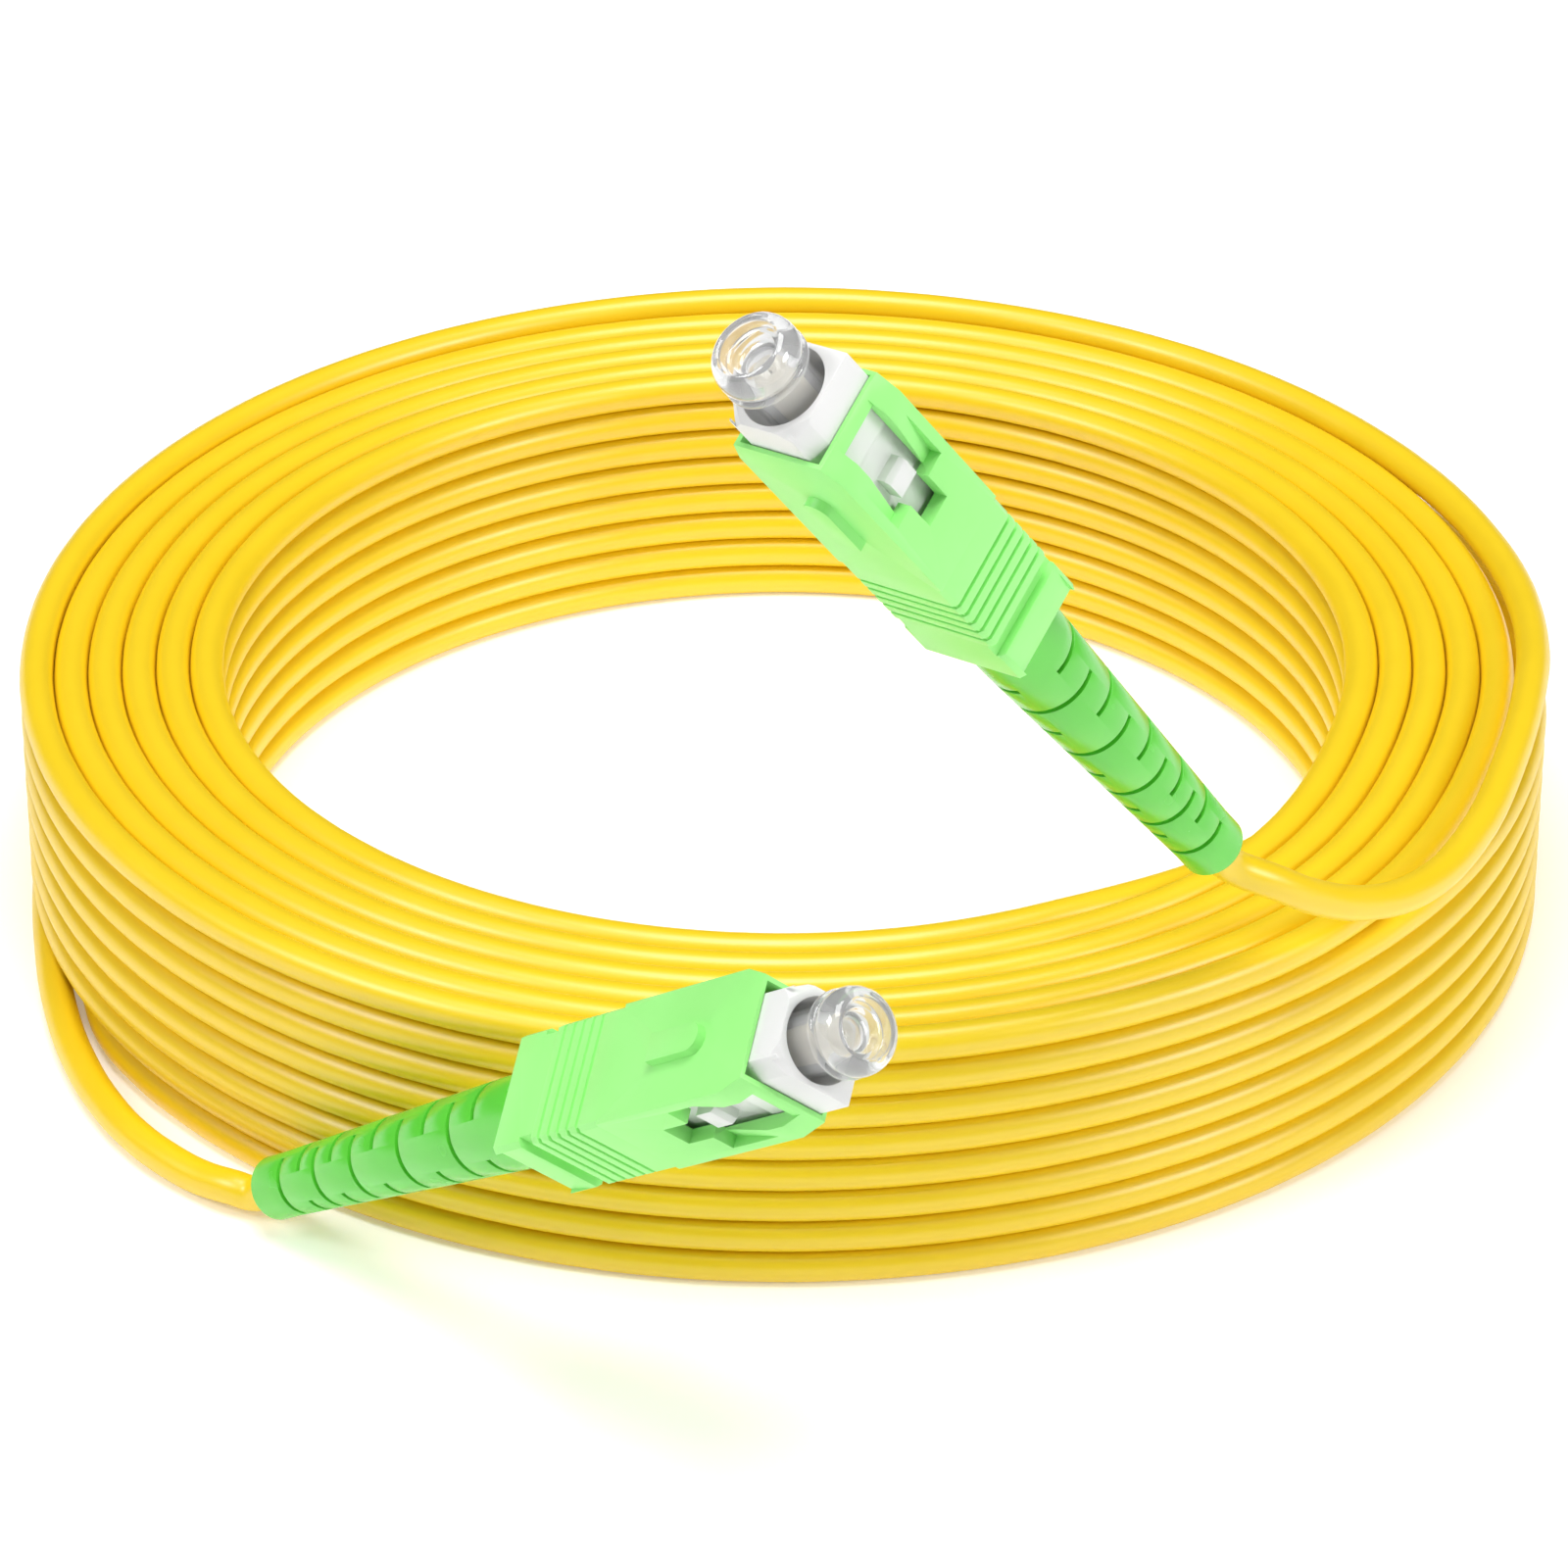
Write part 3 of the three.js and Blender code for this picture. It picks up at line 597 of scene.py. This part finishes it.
def crimp_metal():
    return metal("crimp metal", (0.72, 0.53, 0.22), rough=0.32)


def glass_fibre():
    mat, nodes, links, shader = material("glass fibre")
    grain(nodes, links, 900, 0.02, 0.00002, shader)
    shader.inputs["Base Color"].default_value = (0.95, 0.98, 0.99, 1)
    shader.inputs["Transmission Weight"].default_value = 0.9
    shader.inputs["Roughness"].default_value = 0.03
    return mat


# Each material slot's finish
MATERIALS = {
    "jacket": yellow_jacket(),
    "housing": light_green_housing(),
    "boot": green_boot(),
    "plug_frame": white_plug_frame(),
    "dust_cap": clear_cap_plastic(),
    "ceramic": cream_ceramic(),
    "steel": turned_steel(),
    "crimp": crimp_metal(),
    "yarn": aramid_yarn(),
    "tube": white_tube(),
    "fibre": glass_fibre(),
}


def dress(obj, slot_name):
    obj.data.materials.clear()
    obj.data.materials.append(MATERIALS[slot_name])
    return obj


def dress_cad_nodes():
    for entry in frame["record"]["subparts"]:
        dress(frame["nodes"][entry["node"]], entry["material_slot"])


# ---------------------------------------------------------------- placing

def mount_point(name):
    for mount in frame["record"]["mounts"]:
        if mount["name"] == name:
            return Vector(mount["pos_m"])
    raise KeyError(name)


def connector_matrix(end):
    pose = CONNECTORS[end]
    turn = Euler((radians(pose["roll"]), radians(-pose["elevation"]), radians(pose["yaw"])), "XYZ")
    rotation = turn.to_matrix()
    origin = mount_point("plug_face_" + end) - rotation @ (PLUG_FACE_POINT * MM)
    return Matrix.Translation(origin) @ rotation.to_4x4()


def place_connector(end):
    where = connector_matrix(end)
    pieces = [  # node, mesh, material slot, body
        ("outer_housing", HOUSING, "housing", "grip"),
        ("plug_frame", PLUG_FRAME, "plug_frame", "cord"),
        ("boot", BOOT, "boot", "cord"),
        ("dust_cap", CAP, "dust_cap", "cap"),
        ("ferrule", FERRULE, "ceramic", "ferrule_set"),
    ]
    made = []
    for node, source, slot_name, body in pieces:
        mesh = source.copy()
        mesh.name = f"{node}_{end}_fine"
        mesh.transform(where)
        obj = dress(new_object(f"{node}_{end}_fine", mesh), slot_name)
        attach(obj, body if body == "cord" else f"{body}_{end}")
        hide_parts(f"{node}_{end}")
        made.append(obj)
    return made


def keep_mesh(obj):
    """Takes the finished mesh and removes the object that it was built on."""
    mesh = obj.data
    bpy.data.objects.remove(obj)
    return mesh


# ---------------------------------------------------------------- cable

def coil_centre():
    """The middle of the coil, at the height that it lies on."""
    low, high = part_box("cable_coil")
    return Vector(((low.x + high.x) / 2, (low.y + high.y) / 2, low.z))


def ease(t):
    """A smooth step from 0 to 1."""
    t = min(max(t, 0.0), 1.0)
    return t * t * (3 - 2 * t)


def next_pass(after, zone):
    """The next angle, a degree or more below `after`, that equals zone on the circle."""
    highest = after - 1
    angle = zone
    while angle > highest:
        angle -= 360
    while angle + 360 <= highest:
        angle += 360
    return angle


def winding_changes():
    """Every move of the strand to another column or level: (start angle, length, columns, levels)."""
    changes = []
    angle = ENTRY_DEGREES
    for level, (inner, outer, climb) in enumerate(LEVEL_PLAN):
        step = -1 if level % 2 == 0 else 1
        columns = range(COLUMNS, 1, -1) if step < 0 else range(1, COLUMNS)
        for column in columns:
            zone, length = outer if max(column, column + step) >= OUTER_HALF_COLUMN else inner
            angle = next_pass(angle, zone)
            changes.append((angle, length, step, 0))
            angle -= length
        if climb is not None:
            zone, length = climb
            angle = next_pass(angle, zone)
            changes.append((angle, length, 0, 1))
            angle -= length
    return changes, angle


def rise_at(travelled):
    """The last turn's climb, from degrees travelled since it reached the outer column."""
    back = LAST_COLUMN_DEGREES + 360 - travelled
    points = LAST_TURN_RISE
    if back >= points[0][0]:
        return 0.0
    for (a0, r0), (a1, r1) in zip(points, points[1:]):
        if back >= a1:
            return r0 + (r1 - r0) * (a0 - back) / (a0 - a1)
    return 1.0


def wound_points():
    """The strand's centre line through the coil, from the coil's centre, bottom outer turn first."""
    changes, last_start = winding_changes()
    end = last_start - 360 - (LAST_COLUMN_DEGREES - LEAVE_DEGREES)
    count = int((ENTRY_DEGREES - end) / STEP_DEGREES)
    points = []
    for i in range(count + 1):
        angle = ENTRY_DEGREES - (ENTRY_DEGREES - end) * i / count
        column = COLUMNS
        level = 0.0
        for start, length, across, up in changes:
            if angle >= start:
                break
            share = ease((start - angle) / length)
            column += across * share
            level += up * share
        if angle < last_start:
            level += rise_at(last_start - angle)
        radius = INNER_TURN_R + (column - 1) * CABLE_D
        height = CABLE_D * (0.5 + level)
        points.append((radius * cos(radians(angle)), radius * sin(radians(angle)), height))
    return points


def on_axis(end, x):
    """A point on a connector's axis."""
    return connector_matrix(end) @ Vector((x * MM, 0, 0))


def cable_route():
    """The whole cable, from inside connector b round the coil to inside connector a, in metres."""
    centre = coil_centre()
    local = [*reversed(TAIL_B), *wound_points(), *TAIL_A]
    route = [centre + Vector(p) * MM for p in local]
    inside = (JACKET_FRONT, JACKET_MIDDLE, BOOT_REAR, BOOT_REAR - CABLE_D)
    start = [on_axis("b", x) for x in inside]
    end = [on_axis("a", x) for x in reversed(inside)]
    return [*start, *route, *end]


def make_cable():
    route = cable_route()
    data = bpy.data.curves.new("cable", "CURVE")
    data.dimensions = "3D"
    data.resolution_u = 4
    data.bevel_depth = CABLE_D / 2 * MM
    data.bevel_resolution = 5
    data.use_fill_caps = True
    spline = data.splines.new("BEZIER")
    spline.bezier_points.add(len(route) - 1)
    for point, where in zip(spline.bezier_points, route):
        point.co = where
        point.handle_left_type = "AUTO"
        point.handle_right_type = "AUTO"
    cable = dress(new_object("cable", data), "jacket")
    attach(cable, "cord")
    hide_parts("cable_coil", "cable_tail_a", "cable_tail_b", "jacket_end_a", "jacket_end_b")
    length = sum((b - a).length for a, b in zip(route, route[1:]))
    print("cable length", round(length, 3))
    return cable


# ---------------------------------------------------------------- camera, floor and lights

CAMERA_LENS = 156.6
CAMERA_SENSOR = 36
CAMERA_FROM_COIL = (0, -459.4, 277.5)
CAMERA_LOOKS_DOWN = 30.47
FLOOR_HALF = 3
FLOOR_WHITE = 0.96
FLOOR_ROUGHNESS = 0.9
FLOOR_GLOW = 0.2
WORLD_LIGHT = 0.1
# Place, point that the light faces, size and power, in metres and watts
LIGHTS = {
    "top": ((0.0, -0.1, 0.8), (0, 0, 0.02), 0.45, 5.2),
    "right": ((0.9, -0.5, 0.55), (0, 0, 0.03), 0.4, 5.2),
    "left": ((-0.78, -0.3, 0.76), (0, 0, 0.03), 0.4, 4.6),
}


def add_camera():
    data = bpy.data.cameras.new("camera")
    data.lens = CAMERA_LENS
    data.sensor_width = CAMERA_SENSOR
    data.clip_start = 0.01
    camera = new_object("camera", data)
    camera.location = coil_centre() + Vector(CAMERA_FROM_COIL) * MM
    camera.rotation_euler = (radians(90 - CAMERA_LOOKS_DOWN), 0, 0)
    bpy.context.scene.camera = camera


def add_floor():
    half = FLOOR_HALF
    mesh = bpy.data.meshes.new("floor")
    corners = [(-half, -half, 0), (half, -half, 0), (half, half, 0), (-half, half, 0)]
    mesh.from_pydata(corners, [], [(0, 1, 2, 3)])
    floor = new_object("floor", mesh)
    mat, _, _, shader = material("pale floor")
    shader.inputs["Base Color"].default_value = (FLOOR_WHITE, FLOOR_WHITE, FLOOR_WHITE, 1)
    shader.inputs["Roughness"].default_value = FLOOR_ROUGHNESS
    shader.inputs["Emission Color"].default_value = (1, 1, 1, 1)
    shader.inputs["Emission Strength"].default_value = FLOOR_GLOW
    mesh.materials.append(mat)


def add_light(name, where, target, size, power):
    data = bpy.data.lights.new(name, "AREA")
    data.shape = "SQUARE"
    data.size = size
    data.energy = power
    light = new_object(name, data)
    light.location = where
    light.rotation_euler = (Vector(target) - Vector(where)).to_track_quat("-Z", "Y").to_euler()


def add_world():
    world = bpy.data.worlds.new("world")
    world.use_nodes = True
    background = world.node_tree.nodes["Background"]
    background.inputs["Color"].default_value = (1, 1, 1, 1)
    background.inputs["Strength"].default_value = WORLD_LIGHT
    bpy.context.scene.world = world
    bpy.context.scene.view_settings.view_transform = "Standard"


# ---------------------------------------------------------------- the scene

HOUSING = keep_mesh(housing_mesh())
PLUG_FRAME = keep_mesh(plug_frame_mesh())
BOOT = keep_mesh(boot_mesh())
CAP = keep_mesh(cap_mesh())
FERRULE = keep_mesh(ferrule_mesh())

dress_cad_nodes()
add_camera()
connector_pieces = [piece for end in CONNECTORS for piece in place_connector(end)]
make_cable()
add_floor()
add_world()
for light_name, (place, target, size, power) in LIGHTS.items():
    add_light(light_name, place, target, size, power)
